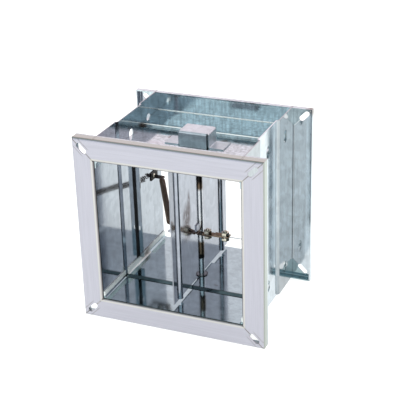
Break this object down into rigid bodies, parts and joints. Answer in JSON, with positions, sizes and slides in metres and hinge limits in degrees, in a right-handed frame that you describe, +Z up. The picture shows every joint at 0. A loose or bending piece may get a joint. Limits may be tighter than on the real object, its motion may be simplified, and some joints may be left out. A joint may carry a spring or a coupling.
{
  "type": "fire damper",
  "caption": "Square flanged duct section with one vertically pivoted flat blade held open by a fusible link against a tension spring that swings it shut across the duct.",
  "frame": {"origin": "bottom centre of the outer box, under the middle of the flanges", "axes": "+X to the right seen from the front flange, +Y along the duct from the front flange to the rear one, +Z up"},
  "size_m": [0.26, 0.202, 0.26],
  "materials": {
    "galvanised_sheet": "zinc-coated, faint spangle",
    "bright_steel": "bright zinc-plated",
    "plated_fastener": "zinc-plated",
    "black_steel": "black",
    "oiled_spring_steel": "oil-blackened",
    "link_brass": "dull",
    "bush_brass": "plain",
    "graphite_seal": "matt"
  },
  "bodies": {
    "casing": {"left_side_wall": "galvanised_sheet", "right_side_wall": "galvanised_sheet", "top_panel": "galvanised_sheet", "bottom_panel": "galvanised_sheet", "left_stop_angle": "galvanised_sheet", "right_stop_angle": "galvanised_sheet", "left_seal_strip": "graphite_seal", "right_seal_strip": "graphite_seal", "cover_box": "galvanised_sheet", "upper_bush": "bush_brass", "lower_bush": "bush_brass", "thrust_washer": "plated_fastener", "spring_bracket": "black_steel", "outer_link_plate": "link_brass", "outer_link_bolt": "plated_fastener", "outer_link_nut": "plated_fastener", "outer_link_washer": "plated_fastener", "hold_open_wire": "bright_steel", "wire_anchor": "bright_steel"},
    "blade": {"blade_plate": "galvanised_sheet", "shaft": "bright_steel", "upper_retaining_clip": "plated_fastener", "lower_retaining_clip": "plated_fastener", "spring_lug": "bright_steel", "link_arm": "bright_steel", "inner_link_plate": "link_brass", "inner_link_bolt": "plated_fastener", "inner_link_nut": "plated_fastener"},
    "spring": {"closing_spring": "oiled_spring_steel"}
  },
  "joints": [
    {"name": "blade_swing", "type": "hinge", "parent": "casing", "child": "blade", "pos_m": [0, 0.004, 0.13], "axis": [0, 0, 1], "range_deg": [-90, 0]},
    {"name": "spring_swing", "type": "hinge", "parent": "casing", "child": "spring", "pos_m": [-0.09, 0.078, 0.136], "axis": [0, 0, 1], "range_deg": [-20.54, 0], "deforming": ["closing_spring"]}
  ],
  "couplings": [
    {"joint": "spring_swing", "follows": "blade_swing", "ratio": 0.22494}
  ]
}
